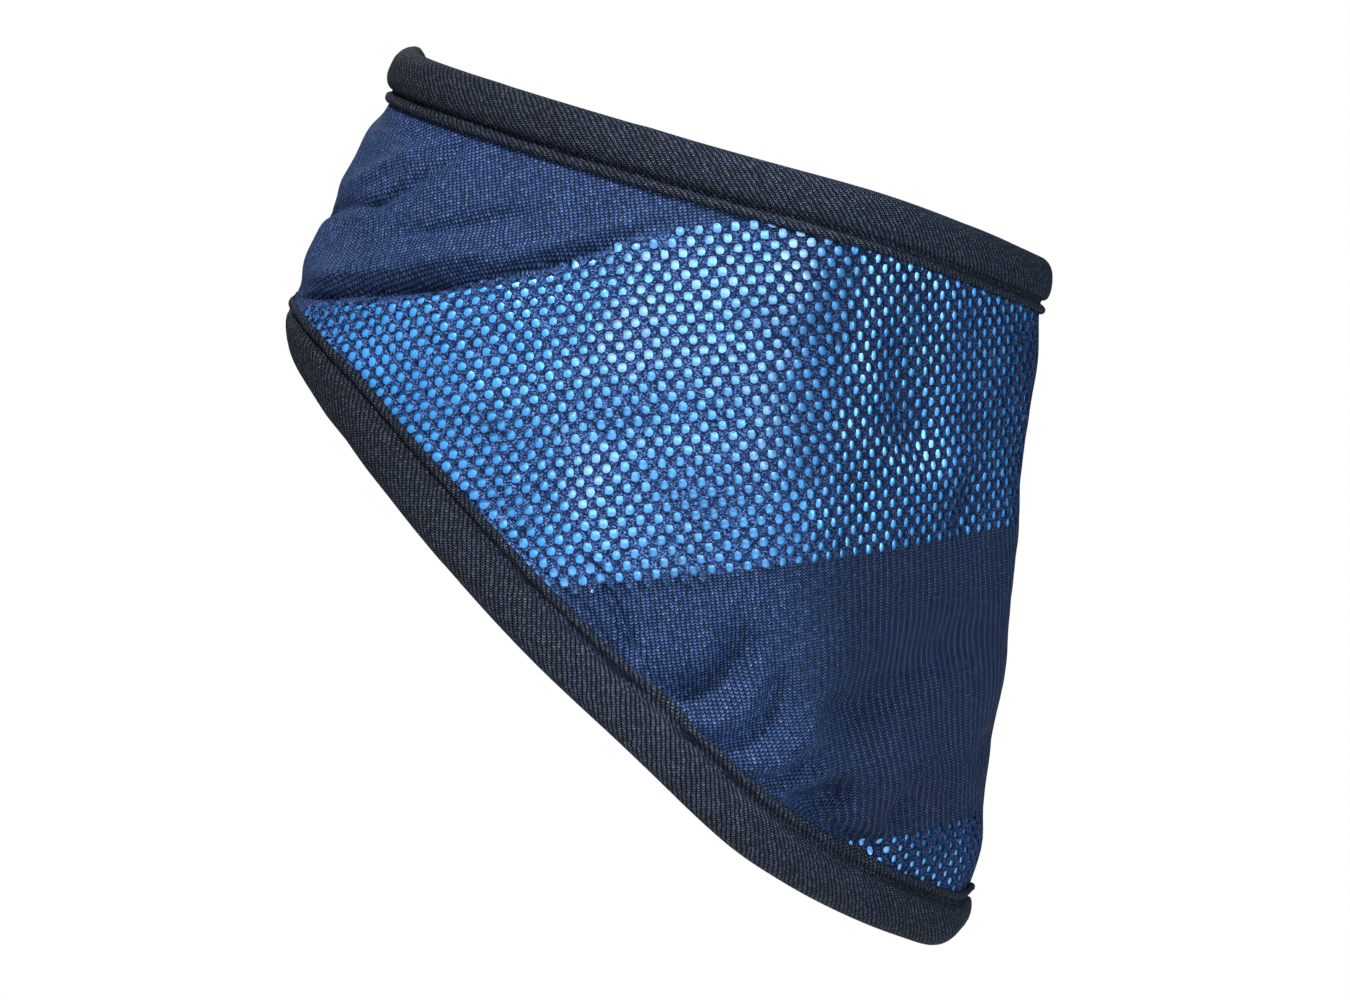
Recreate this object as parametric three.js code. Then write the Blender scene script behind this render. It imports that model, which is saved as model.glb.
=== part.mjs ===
// Dog cooling scarf: a slip-on tube of perforated knit over a glossy cooling layer, bound at both hems.
// Millimetres, +Z up, +X towards the throat, Y across the neck. The origin is the middle of the neck hole.
import * as THREE from 'three';

// Overall form of the cloth between its two cut edges
const WIDTH = 167; // scale of the nape and throat lines along X
const HEIGHT = 194; // scale of the nape and throat lines along Z
const DEPTH = 126; // from side to side, along Y
const SAG = 20; // the most that a hem hangs past its straight line from nape to throat
const FOLD_HEIGHT = 4; // the highest fold or deepest valley
const HEM_CALM = 0.14; // share of the cloth's length at each hem that lies flat under its binding

// Walls
const SHELL_WALL = 1.0; // knit shell
const LINER_WALL = 1.0; // cooling layer
const CLOTH_GAP = 0.4; // between shell and cooling layer

// Bindings: a folded tape with a soft roll past the edge and a turned ridge on the shell's face
const SEAT_GAP = 0.4; // clear space between the tape and the cloth that it holds
const TAPE_WALL = 1.0; // tape at its thinnest, along the turned ridge and its back
const RIDGE_RISE = 0.45; // how much the turned ridge stands over the tape beside it
const UPPER_ROLL = 9.6; // width of the upper roll
const UPPER_BITE = 5.7; // how far the upper tape reaches over the cloth
const LOWER_ROLL = 11.6; // width of the lower roll
const LOWER_BITE = 6.6; // how far the lower tape reaches over the cloth
const ROLL_PUFF = 1.9; // how much each roll stands over the tape's thin part
const RIDGE_WIDTH = 2.5; // width of the turned ridge
const GROOVE_WIDTH = 0.7; // stitched groove between ridge and roll

// Mesh counts
const HALF_STEPS = 31; // facets from throat to nape, on one side
const DOWN_STEPS = 15; // facets from the upper to the lower hem
const END_CROWDING = 0.4; // 0 spaces the facets evenly, more crowds them at the throat and the nape
const DIFF = 0.002; // step for slopes, as a share

// Colours
const NAVY_KNIT = 0x2f4268;
const BLUE_FILM = 0x4a90d9;
const BLACK_TAPE = 0x2b313c;

// A table is a list of rows with named columns.
const table = (columns, rows) =>
  rows.map((row) => Object.fromEntries(columns.map((column, i) => [column, row[i]])));

// One row for each section from the upper edge to the lower edge. Places are shares of WIDTH and
// HEIGHT, deep is a share of half of DEPTH, and the sags are shares of SAG.
const SECTIONS = table(['down', 'napeX', 'napeZ', 'throatX', 'throatZ', 'deep', 'sagThroat', 'sagNape'], [
  [0.0, -0.364, 0.353, 0.479, 0.123, 0.929, 0.03, 0.32],
  [0.1, -0.378, 0.325, 0.473, 0.054, 0.944, 0.09, 0.31],
  [0.2, -0.4, 0.298, 0.462, -0.016, 0.96, 0.14, 0.3],
  [0.3, -0.415, 0.27, 0.452, -0.084, 0.971, 0.17, 0.28],
  [0.4, -0.433, 0.243, 0.446, -0.154, 0.981, 0.2, 0.26],
  [0.5, -0.443, 0.215, 0.437, -0.223, 0.984, 0.24, 0.25],
  [0.6, -0.463, 0.188, 0.431, -0.292, 0.984, 0.3, 0.24],
  [0.7, -0.481, 0.16, 0.417, -0.362, 0.984, 0.4, 0.24],
  [0.8, -0.486, 0.132, 0.407, -0.43, 0.984, 0.55, 0.245],
  [0.9, -0.484, 0.105, 0.401, -0.5, 0.976, 0.73, 0.25],
  [1.0, -0.482, 0.077, 0.379, -0.569, 0.968, 0.925, 0.255],
]);

// The ring's half outline, the same in every section: across is the share of the way from throat
// to nape, out is the share of that section's half depth.
const OUTLINE = table(['across', 'out'], [
  [0.0, 0.0],
  [0.012, 0.15],
  [0.06, 0.33],
  [0.13, 0.545],
  [0.21, 0.755],
  [0.28, 0.905],
  [0.35, 0.975],
  [0.47, 1.0],
  [0.59, 0.985],
  [0.73, 0.89],
  [0.865, 0.69],
  [0.945, 0.48],
  [0.985, 0.26],
  [1.0, 0.0],
]);

// Main folds, on both sides. A fold runs from (round1, down1) to (round2, down2), where round is the
// share of the way along the ring from throat to nape. wide is a share of HEIGHT and rise of
// FOLD_HEIGHT; a rise below zero is a valley.
const FOLDS = table(['name', 'round1', 'down1', 'round2', 'down2', 'wide', 'rise'], [
  ['valley under the upper puff', 0.9, 0.72, 0.58, 0.2, 0.03, -0.62],
  ['upper puff', 0.86, 0.5, 0.7, 0.22, 0.085, 0.55],
  ['slanting crease', 0.78, 0.14, 0.91, 0.42, 0.022, -0.4],
  ['first pucker hollow', 0.46, 0.9, 0.39, 0.81, 0.035, -0.5],
  ['pucker ridge', 0.4, 0.9, 0.36, 0.78, 0.026, 0.45],
  ['second pucker hollow', 0.35, 0.9, 0.31, 0.8, 0.03, -0.5],
  ['second pucker ridge', 0.31, 0.89, 0.29, 0.84, 0.026, 0.3],
  ['hollow near the bib', 0.25, 0.9, 0.21, 0.84, 0.03, -0.3],
  ['fall at the throat', 0.2, 0.82, 0.13, 0.52, 0.04, -0.35],
]);

// Smooth interpolation through a table: a cubic through the rows around the place asked for.
function through(rows, key, at, names) {
  const last = rows.length - 2;
  let i = 0;
  while (i < last && rows[i + 1][key] <= at) {
    i += 1;
  }
  const slope = (a, b, name) => (rows[b][name] - rows[a][name]) / (rows[b][key] - rows[a][key]);
  const tangent = (k, name) => {
    if (k === 0) {
      return slope(0, 1, name);
    }
    if (k === rows.length - 1) {
      return slope(k - 1, k, name);
    }
    return (slope(k - 1, k, name) + slope(k, k + 1, name)) / 2;
  };
  const span = rows[i + 1][key] - rows[i][key];
  const s = (at - rows[i][key]) / span;
  const result = {};
  for (const name of names) {
    result[name] =
      (2 * s ** 3 - 3 * s ** 2 + 1) * rows[i][name] +
      (s ** 3 - 2 * s ** 2 + s) * span * tangent(i, name) +
      (3 * s ** 2 - 2 * s ** 3) * rows[i + 1][name] +
      (s ** 3 - s ** 2) * span * tangent(i + 1, name);
  }
  return result;
}

// The outline's rows get the share of the ring's length at which each lies.
const middle = SECTIONS[Math.floor(SECTIONS.length / 2)];
const middleChord = Math.hypot(
  (middle.throatX - middle.napeX) * WIDTH,
  (middle.throatZ - middle.napeZ) * HEIGHT,
);
const middleDeep = (middle.deep * DEPTH) / 2;
let ringLength = 0;
const outline = OUTLINE.map((row, i) => {
  if (i > 0) {
    const before = OUTLINE[i - 1];
    ringLength += Math.hypot(
      (row.across - before.across) * middleChord,
      (row.out - before.out) * middleDeep,
    );
  }
  return { ...row, round: ringLength };
});
for (const row of outline) {
  row.round /= ringLength;
}
const clothLength = (middleChord * HEIGHT) / WIDTH;

const clamp01 = (x) => Math.min(1, Math.max(0, x));
const smooth = (x) => clamp01(x) ** 2 * (3 - 2 * clamp01(x));

// The shell's outer face without folds; round runs 0 at the throat to 1 at the nape, side is -1 or 1.
function plain(round, down, side) {
  const { across, out } = through(outline, 'round', round, ['across', 'out']);
  const row = through(SECTIONS, 'down', down, [
    'napeX', 'napeZ', 'throatX', 'throatZ', 'deep', 'sagThroat', 'sagNape',
  ]);
  const chordX = (row.napeX - row.throatX) * WIDTH;
  const chordZ = (row.napeZ - row.throatZ) * HEIGHT;
  const chord = Math.hypot(chordX, chordZ);
  const sag = out * SAG * (row.sagThroat * (1 - across) + row.sagNape * across);
  return new THREE.Vector3(
    row.throatX * WIDTH + chordX * across - (chordZ / chord) * sag,
    (side * out * row.deep * DEPTH) / 2,
    row.throatZ * HEIGHT + chordZ * across + (chordX / chord) * sag,
  );
}

// Outward direction of a face function at a place
function outward(face, round, down, side) {
  const r1 = Math.max(round - DIFF, 0);
  const r2 = Math.min(round + DIFF, 1);
  const d1 = Math.max(down - DIFF, 0);
  const d2 = Math.min(down + DIFF, 1);
  const around = face(r2, down, side).sub(face(r1, down, side));
  const along = face(round, d2, side).sub(face(round, d1, side));
  if (round === 0 || round === 1) {
    // the ring crosses from one side to the other square to the middle plane
    around.set(0, (round === 0 ? 1 : -1) * side, 0);
  }
  return around.cross(along).multiplyScalar(-side).normalize();
}

// Height of all folds at a place, dying away under the bindings
function foldHeight(round, down) {
  const calm = smooth((down - HEM_CALM / 2) / HEM_CALM) * smooth((1 - HEM_CALM / 2 - down) / HEM_CALM);
  let height = 0;
  for (const fold of FOLDS) {
    const x = (round - fold.round1) * ringLength;
    const y = (down - fold.down1) * clothLength;
    const runX = (fold.round2 - fold.round1) * ringLength;
    const runY = (fold.down2 - fold.down1) * clothLength;
    const share = clamp01((x * runX + y * runY) / (runX ** 2 + runY ** 2));
    const away = Math.hypot(x - share * runX, y - share * runY) / (fold.wide * HEIGHT);
    height += fold.rise * FOLD_HEIGHT * Math.exp(-(away ** 2));
  }
  return height * calm;
}

function folded(round, down, side) {
  const lift = foldHeight(round, down);
  return plain(round, down, side).addScaledVector(outward(plain, round, down, side), lift);
}

// A point at a height over the shell's outer face
function over(round, down, side, height) {
  return folded(round, down, side).addScaledVector(outward(folded, round, down, side), height);
}

// Places around the whole ring: throat, near side, nape, far side
const ring = [];
for (let i = 0; i < 2 * HALF_STEPS; i += 1) {
  const near = i <= HALF_STEPS;
  const share = (near ? i : 2 * HALF_STEPS - i) / HALF_STEPS;
  const crowd = (END_CROWDING * Math.sin(2 * Math.PI * share)) / (2 * Math.PI);
  ring.push({ round: clamp01(share - crowd), side: near ? -1 : 1 });
}

// A closed mesh swept round the ring: loopAt(place) gives the points of one closed cross-section
function sweep(name, loopAt, colour, roughness) {
  const loops = ring.map(loopAt);
  const count = loops[0].length;
  const positions = loops.flatMap((loop) => loop.flatMap((p) => p.toArray()));
  const faces = [];
  for (let i = 0; i < loops.length; i += 1) {
    const next = (i + 1) % loops.length;
    for (let k = 0; k < count; k += 1) {
      const after = (k + 1) % count;
      const [a, b] = [i * count + k, i * count + after];
      const [c, d] = [next * count + after, next * count + k];
      // the way back splits its four-sided facets along the same diagonal as the way out
      faces.push(...(k < count / 2 ? [a, b, c, a, c, d] : [a, b, d, b, c, d]));
    }
  }
  const geometry = new THREE.BufferGeometry();
  geometry.setAttribute('position', new THREE.Float32BufferAttribute(positions, 3));
  geometry.setIndex(faces);
  geometry.computeVertexNormals();
  const material = new THREE.MeshStandardMaterial({ color: colour, roughness, metalness: 0 });
  const mesh = new THREE.Mesh(geometry, material);
  mesh.name = name;
  return mesh;
}

// One cloth wall: down its outer face, then back up its inner face
function clothLoop({ round, side }, outer, wall) {
  const points = [];
  for (let k = 0; k <= DOWN_STEPS; k += 1) {
    points.push(over(round, k / DOWN_STEPS, side, -outer));
  }
  for (let k = DOWN_STEPS; k >= 0; k -= 1) {
    points.push(over(round, k / DOWN_STEPS, side, -outer - wall));
  }
  return points;
}

const linerDepth = SHELL_WALL + CLOTH_GAP;
const clothDepth = linerDepth + LINER_WALL;

// A binding's cross-section: reach runs out past the cloth's cut edge, height over the shell's face.
function bindingSection(roll, bite) {
  const grooveAt = -bite + RIDGE_WIDTH;
  const rollAt = grooveAt + GROOVE_WIDTH;
  const edge = rollAt + roll;
  const at = (share) => rollAt + share * roll;
  const front = SEAT_GAP;
  const back = -clothDepth - SEAT_GAP;
  const skin = front + TAPE_WALL;
  const lining = back - TAPE_WALL;
  const heart = (skin + lining) / 2;
  return [
    { reach: -bite, height: front },
    { reach: -bite, height: skin },
    { reach: -bite + RIDGE_WIDTH * 0.45, height: skin + RIDGE_RISE },
    { reach: grooveAt, height: skin },
    { reach: rollAt, height: skin },
    { reach: at(0.12), height: skin + ROLL_PUFF * 0.6 },
    { reach: at(0.4), height: skin + ROLL_PUFF },
    { reach: at(0.8), height: skin + ROLL_PUFF * 0.25 },
    { reach: edge, height: heart },
    { reach: at(0.8), height: lining - ROLL_PUFF * 0.25 },
    { reach: at(0.4), height: lining - ROLL_PUFF },
    { reach: rollAt, height: lining - ROLL_PUFF * 0.3 },
    { reach: -bite, height: lining },
    { reach: -bite, height: back },
    { reach: SEAT_GAP, height: back },
    { reach: SEAT_GAP, height: front },
  ];
}

// A binding follows the cloth: past the cut edge it goes straight on, square to the hem.
function bindingLoop({ round, side }, edgeDown, roll, bite) {
  const inward = edgeDown === 0 ? 1 : -1;
  const step = DIFF * inward;
  const r1 = Math.max(round - DIFF, 0);
  const r2 = Math.min(round + DIFF, 1);
  const hem = folded(round, edgeDown, side);
  const hemRun = folded(r2, edgeDown, side).sub(folded(r1, edgeDown, side)).divideScalar(r2 - r1);
  const clothRun = folded(round, edgeDown + step, side).sub(hem).divideScalar(step);
  if (round === 0 || round === 1) {
    hemRun.set(0, hemRun.y, 0);
  }
  const hemDirection = hemRun.clone().normalize();
  const square = clothRun.clone().addScaledVector(hemDirection, -clothRun.dot(hemDirection));
  const perMillimetre = 1 / square.length();
  const slide = (-clothRun.dot(hemDirection) / hemRun.length()) * perMillimetre;
  const beyond = square.multiplyScalar(-inward * perMillimetre);
  const hemOut = outward(folded, round, edgeDown, side);
  return bindingSection(roll, bite).map(({ reach, height }) => {
    if (reach >= 0) {
      return hem.clone().addScaledVector(beyond, reach).addScaledVector(hemOut, height);
    }
    const down = edgeDown - reach * inward * perMillimetre;
    const along = round - reach * inward * slide;
    if (along < 0 || along > 1) {
      return over(along < 0 ? -along : 2 - along, down, -side, height);
    }
    return over(along, down, side, height);
  });
}

// Loops that run down the outer face are reversed, so that every face looks outward.
const shellLoop = (place) => clothLoop(place, 0, SHELL_WALL).reverse();
const linerLoop = (place) => clothLoop(place, linerDepth, LINER_WALL).reverse();
const upperLoop = (place) => bindingLoop(place, 0, UPPER_ROLL, UPPER_BITE);
const lowerLoop = (place) => bindingLoop(place, 1, LOWER_ROLL, LOWER_BITE).reverse();

const scarf = new THREE.Group();
scarf.add(sweep('outer_shell', shellLoop, NAVY_KNIT, 0.75));
scarf.add(sweep('cooling_liner', linerLoop, BLUE_FILM, 0.3));
scarf.add(sweep('upper_binding', upperLoop, BLACK_TAPE, 0.85));
scarf.add(sweep('lower_binding', lowerLoop, BLACK_TAPE, 0.85));

export default scarf;
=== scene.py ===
"""Dog cooling scarf: the looks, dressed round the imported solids.

Lengths are millimetres until a mesh is made.
"""

import math

import bpy
import numpy as np
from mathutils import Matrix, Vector
from mathutils.geometry import delaunay_2d_cdt
from mathutils.kdtree import KDTree


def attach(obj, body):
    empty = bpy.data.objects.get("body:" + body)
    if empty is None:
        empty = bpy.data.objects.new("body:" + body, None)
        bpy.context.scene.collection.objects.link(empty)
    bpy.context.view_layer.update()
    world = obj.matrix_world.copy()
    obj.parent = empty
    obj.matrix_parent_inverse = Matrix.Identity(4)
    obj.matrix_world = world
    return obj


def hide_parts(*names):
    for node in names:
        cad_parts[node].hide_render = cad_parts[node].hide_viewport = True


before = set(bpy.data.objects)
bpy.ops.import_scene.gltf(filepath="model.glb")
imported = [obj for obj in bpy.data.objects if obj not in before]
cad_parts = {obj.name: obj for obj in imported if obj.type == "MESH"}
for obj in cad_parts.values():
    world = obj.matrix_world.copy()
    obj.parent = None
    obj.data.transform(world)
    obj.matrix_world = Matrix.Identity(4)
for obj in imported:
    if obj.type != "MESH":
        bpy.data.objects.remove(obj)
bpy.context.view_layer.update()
MM = 0.001

# The form, as in the part's source
WIDTH, HEIGHT, DEPTH, SAG = 167.0, 194.0, 126.0, 20.0
SECTIONS = np.array([  # down, nape x, nape z, throat x, throat z, deep, sag at throat, sag at nape
    (0.0, -0.357, 0.358, 0.475, 0.12, 0.929, 0.03, 0.32),
    (0.1, -0.371, 0.325, 0.473, 0.054, 0.944, 0.09, 0.31),
    (0.2, -0.393, 0.298, 0.465, -0.016, 0.96, 0.14, 0.3),
    (0.3, -0.408, 0.27, 0.455, -0.084, 0.971, 0.17, 0.28),
    (0.4, -0.426, 0.243, 0.449, -0.154, 0.981, 0.2, 0.26),
    (0.5, -0.437, 0.215, 0.44, -0.223, 0.984, 0.24, 0.25),
    (0.6, -0.457, 0.188, 0.434, -0.292, 0.984, 0.3, 0.24),
    (0.7, -0.475, 0.16, 0.42, -0.362, 0.984, 0.4, 0.24),
    (0.8, -0.482, 0.132, 0.411, -0.43, 0.984, 0.55, 0.245),
    (0.9, -0.49, 0.109, 0.404, -0.503, 0.976, 0.73, 0.25),
    (1.0, -0.484, 0.082, 0.372, -0.581, 0.968, 0.9, 0.24),
])
OUTLINE = np.array([  # across, out
    (0.0, 0.0), (0.012, 0.15), (0.06, 0.33), (0.13, 0.545), (0.21, 0.755), (0.28, 0.905), (0.35, 0.975),
    (0.47, 1.0), (0.59, 0.985), (0.73, 0.89), (0.865, 0.69), (0.945, 0.48), (0.985, 0.26), (1.0, 0.0),
])
FOLDS = [  # round 1, down 1, round 2, down 2, bend, wide on one side, wide on the other, rise (mm)
    (0.907, 0.817, 0.735, 0.48, 0.9, 2.6, 1.5, -2.6),  # valley over the band of holes
    (0.893, 0.733, 0.708, 0.373, 0.9, 2.2, 8.0, 2.5),  # puff over it
    (0.772, 0.57, 0.55, 0.137, 0.0, 1.3, 1.8, -1.9),  # their thin ends
    (0.758, 0.46, 0.542, 0.083, -0.2, 6.0, 1.6, 2.0),
    (0.797, 0.437, 0.67, 0.187, 0.8, 3.5, 3.5, -1.8),  # faint hollow over the puff
    (0.787, 0.177, 0.863, 0.43, -1.6, 1.9, 2.8, -1.9),  # slanting crease
    (0.838, 0.377, 1.0, 0.58, 0.0, 3.0, 3.4, -1.1),  # its run to the edge
    (0.815, 0.15, 0.912, 0.39, -1.0, 4.0, 4.0, 1.4),  # puff beside the crease
    (0.775, 0.08, 0.782, 0.207, 0.0, 1.8, 2.2, -1.1),  # pucker
    (0.52, 0.823, 0.463, 0.917, -0.6, 2.2, 1.6, -2.0),  # creases that start at the lower tape
    (0.522, 0.877, 0.478, 0.917, 0.0, 2.2, 2.2, 1.4),
    (0.44, 0.953, 0.37, 0.753, 3.4, 4.0, 4.2, -5.2),
    (0.408, 0.953, 0.355, 0.767, 3.2, 2.8, 2.8, 2.4),
    (0.38, 0.95, 0.333, 0.78, 3.0, 3.4, 2.6, -2.6),
    (0.355, 0.95, 0.29, 0.797, 3.0, 3.2, 3.4, 2.6),
    (0.34, 0.953, 0.29, 0.863, 1.5, 2.4, 2.4, -2.8),
    (0.315, 0.937, 0.255, 0.853, 1.2, 2.4, 2.4, 1.2),
    (0.29, 0.953, 0.23, 0.883, 0.6, 3.4, 3.8, -4.6),
    (0.258, 0.953, 0.16, 0.95, 0.0, 2.6, 4.0, -4.4),
    (0.265, 0.833, 0.103, 0.57, -2.0, 8.0, 8.0, -2.8),  # broad hollow on the right
    (0.23, 0.883, 0.098, 0.783, 0.0, 7.0, 7.0, 1.2),
    (0.275, 0.777, 0.22, 0.753, 0.0, 3.0, 2.2, -1.2),
    (0.152, 0.833, 0.175, 0.903, 0.0, 1.8, 2.6, -1.2),
    (0.275, 0.173, 0.212, 0.347, 0.0, 7.0, 5.5, -1.1),  # hollow in the band of holes
    (0.128, 0.327, 0.14, 0.443, 0.0, 3.5, 5.0, -1.2),
    (0.055, 0.78, 0.022, 0.71, 0.0, 4.5, 4.5, -1.4),  # dent at the throat
]


def hermite(xs, ys, at):
    """A smooth cubic through the rows of a table."""
    rows = ys if ys.ndim > 1 else ys[:, None]
    slope = np.diff(rows, axis=0) / np.diff(xs)[:, None]
    tangent = np.concatenate([slope[:1], (slope[1:] + slope[:-1]) / 2, slope[-1:]])
    i = np.clip(np.searchsorted(xs, at, side="right") - 1, 0, len(xs) - 2)
    span = (xs[i + 1] - xs[i])[..., None]
    s = (at - xs[i])[..., None] / span
    got = (
        (2 * s**3 - 3 * s**2 + 1) * rows[i]
        + (s**3 - 2 * s**2 + s) * span * tangent[i]
        + (3 * s**2 - 2 * s**3) * rows[i + 1]
        + (s**3 - s**2) * span * tangent[i + 1]
    )
    return got if ys.ndim > 1 else got[..., 0]


middle = SECTIONS[len(SECTIONS) // 2]
chord_mid = math.hypot((middle[3] - middle[1]) * WIDTH, (middle[4] - middle[2]) * HEIGHT)
steps = np.hypot(np.diff(OUTLINE[:, 0]) * chord_mid, np.diff(OUTLINE[:, 1]) * middle[5] * DEPTH / 2)
RING = float(steps.sum())
CLOTH = chord_mid * HEIGHT / WIDTH
outline_at = np.concatenate([[0], np.cumsum(steps)]) / RING


# Where a hem runs straighter than the sections give: across, wide (shares), rise (mm), hem
STRAIGHTENED = [(0.38, 0.15, 1.8, 1), (0.25, 0.16, 0.7, 0)]
HEM_FADE = 0.45  # share of the cloth's height over which a straightened hem fades out
STEP = 0.002  # how far a place is moved, as a share, to find a direction


def smooth(x):
    x = np.clip(x, 0, 1)
    return x * x * (3 - 2 * x)


def near_place(round_):
    """The near side's place that a place round the ring is on or mirrors."""
    return np.abs(np.where(round_ > 1, 2 - round_, round_))


def plain(round_, down):
    """The shell's outer face without folds. Past 0 and 1 it goes on round the far side."""
    round_, down = np.broadcast_arrays(np.asarray(round_, float), np.asarray(down, float))
    far = (round_ < 0) | (round_ > 1)
    at = near_place(round_)
    across, out = np.moveaxis(hermite(outline_at, OUTLINE, at), -1, 0)
    nx, nz, tx, tz, deep, sag_t, sag_n = np.moveaxis(hermite(SECTIONS[:, 0], SECTIONS[:, 1:], down), -1, 0)
    chord_x, chord_z = (nx - tx) * WIDTH, (nz - tz) * HEIGHT
    chord = np.hypot(chord_x, chord_z)
    sag = out * SAG * (sag_t * (1 - across) + sag_n * across)
    for middle_at, wide, rise, hem in STRAIGHTENED:
        near_hem = smooth(1 - np.abs(down - hem) / HEM_FADE)
        sag = sag - rise * np.exp(-(((across - middle_at) / wide) ** 2)) * near_hem
    y = np.where(far, 1, -1) * out * deep * DEPTH / 2
    x = tx * WIDTH + chord_x * across - chord_z / chord * sag
    z = tz * HEIGHT + chord_z * across + chord_x / chord * sag
    return np.stack([x, y, z], -1)


def unit(v):
    return v / np.linalg.norm(v, axis=-1, keepdims=True)


def outward(face, round_, down):
    """The outward direction of a face function."""
    around = face(round_ + STEP, down) - face(round_ - STEP, down)
    along = face(round_, down + STEP) - face(round_, down - STEP)
    return unit(np.cross(around, along))


SIDE_KNOTS = np.array([  # round, length from hem to hem
    (0.0, 135.0), (0.25, 127.0), (0.5, 101.0), (0.75, 71.0), (1.0, 59.0),
])
SIDE_PLACES = np.linspace(0, 1, 101)
SIDE_LENGTHS = hermite(SIDE_KNOTS[:, 0], SIDE_KNOTS[:, 1], SIDE_PLACES)


def side_length(round_):
    """How long the cloth is from hem to hem at a place round the ring."""
    return np.interp(near_place(round_), SIDE_PLACES, SIDE_LENGTHS)


def calm(down, length, start, run):
    """Nothing as far as start from both hems, whole after the run: it keeps relief off the tapes."""
    return smooth((down * length - start) / run) * smooth(((1 - down) * length - start) / run)


GATHERS = [  # hem, from round, to round, rise, apart, how far in
    (1, 0.45, 0.66, 0.5, 8.5, 12.0),
    (0, 0.5, 0.9, 0.35, 11.0, 7.0),
    (1, 0.66, 0.95, 0.35, 9.0, 7.0),
]
GATHER_FADE = 0.06
GATHER_SWINGS = [(0.35, 61), (0.25, 23)]  # how unevenly the pleats are spaced
GATHER_LEAN = 0.02


def gathers(at, down, length):
    """Small pleats that run in from a hem."""
    total = 0
    for hem, start, stop, rise, apart, reach in GATHERS:
        inside = np.abs(down - hem) * length
        window = smooth((at - start) / GATHER_FADE) * smooth((stop - at) / GATHER_FADE)
        (wide, quick), (narrow, slow) = GATHER_SWINGS
        swing = wide * np.sin(at * quick + hem) + narrow * np.sin(at * slow)
        wave = np.sin(2 * np.pi * (at * RING / apart + swing + inside * GATHER_LEAN))
        total = total + rise * wave * window * np.exp(-inside / reach)
    return total


FOLD_PAST, FOLD_FADE = 0.15, 0.4  # shares of a fold's run: how far past its ends, and how long a fade
FOLD_CALM, RELIEF_CALM, LINER_CALM = (4, 5), (4, 6), (5, 8)  # start and run of the calm strip at the hems


def fold_height(round_, down):
    """How far the folds lift the cloth."""
    at = near_place(round_)
    length = side_length(at)
    height = np.zeros(np.broadcast(round_, down).shape)
    for r1, d1, r2, d2, bend, wide_one, wide_two, rise in FOLDS:
        x, y = (at - r1) * RING, (down - d1) * CLOTH
        run_x, run_y = (r2 - r1) * RING, (d2 - d1) * CLOTH
        run = math.hypot(run_x, run_y)
        share = (x * run_x + y * run_y) / run**2
        away = (x * run_y - y * run_x) / run - 4 * bend * share * (1 - share)
        ends = smooth((share + FOLD_PAST) / FOLD_FADE) * smooth((1 + FOLD_PAST - share) / FOLD_FADE)
        height += rise * ends * np.exp(-((away / np.where(away > 0, wide_one, wide_two)) ** 2))
    height += gathers(at, down, length)
    return height * calm(down, length, *FOLD_CALM)


def folded(round_, down):
    """The shell's outer face with its folds."""
    return plain(round_, down) + outward(plain, round_, down) * fold_height(round_, down)[..., None]


def waves(seed, count, short, long_):
    """Directions, phases and sizes of a smooth irregular relief made of many plane waves."""
    rng = np.random.default_rng(seed)
    way = unit(rng.normal(size=(count, 3)))
    length = rng.uniform(short, long_, count)
    return way * (2 * np.pi / length)[:, None], rng.uniform(0, 2 * np.pi, count), 1 / math.sqrt(count)


def relief(points, made):
    """The height of a relief made by waves."""
    way, phase, size = made
    return np.sin(points @ way.T + phase).sum(-1) * size


SOFT, SOFT_RISE = waves(3, 26, 16, 46), 0.4
FINE, FINE_RISE = waves(5, 30, 5, 11), 0.06


def skin(round_, down, under=0.0):
    """Points of the cloth at a depth under the shell's outer face, and their outward direction."""
    base = folded(round_, down)
    way = outward(folded, round_, down)
    rough = SOFT_RISE * relief(base, SOFT) + FINE_RISE * relief(base, FINE)
    lift = rough * calm(down, side_length(round_), *RELIEF_CALM)
    return base + way * (lift - under)[..., None], way


# Fabric coordinates, by unrolling the plain face on a grid: a goes towards the throat, b goes up.
GRID_R, GRID_D = 181, 121
grid_r, grid_d = np.linspace(0, 1, GRID_R), np.linspace(0, 1, GRID_D)
grid = plain(grid_r[:, None], grid_d[None])
by_r, by_d = np.gradient(grid, axis=0), np.gradient(grid, axis=1)
face_out = unit(np.cross(by_r, by_d))
level = unit(np.cross(np.array([0, 0, 1.0]), face_out))
level *= -np.sign((level * by_r).sum(-1, keepdims=True))
rising = np.cross(face_out, level)
rising *= np.sign(rising[..., 2:3])


def unroll(way):
    """How far each point of the grid lies along a direction of the cloth, from the grid's middle."""
    on_r, on_d = (way * by_r).sum(-1), (way * by_d).sum(-1)
    mid_r, mid_d = GRID_R // 2, GRID_D // 2
    run_r = np.concatenate([on_r[:1] * 0, np.cumsum((on_r[1:] + on_r[:-1]) / 2, axis=0)])
    run_d = np.concatenate([[0], np.cumsum((on_d[mid_r, 1:] + on_d[mid_r, :-1]) / 2)])
    return run_r - run_r[mid_r] + run_d[None] - run_d[mid_d]


fab_a, fab_b = unroll(level), unroll(rising)
PITCH, ROW = 3.68, 2.19  # between holes of a row, and between rows
ROW_SLOPE, ROW_BEND, WALE_LEAN = 0.085, 0.00065, 0.12
fab_p = (fab_a + WALE_LEAN * fab_b) / (PITCH * (1 + ROW_SLOPE * WALE_LEAN))
fab_q = (fab_b - ROW_SLOPE * fab_a + ROW_BEND * np.minimum(fab_a, 0) ** 2) / ROW


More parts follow.
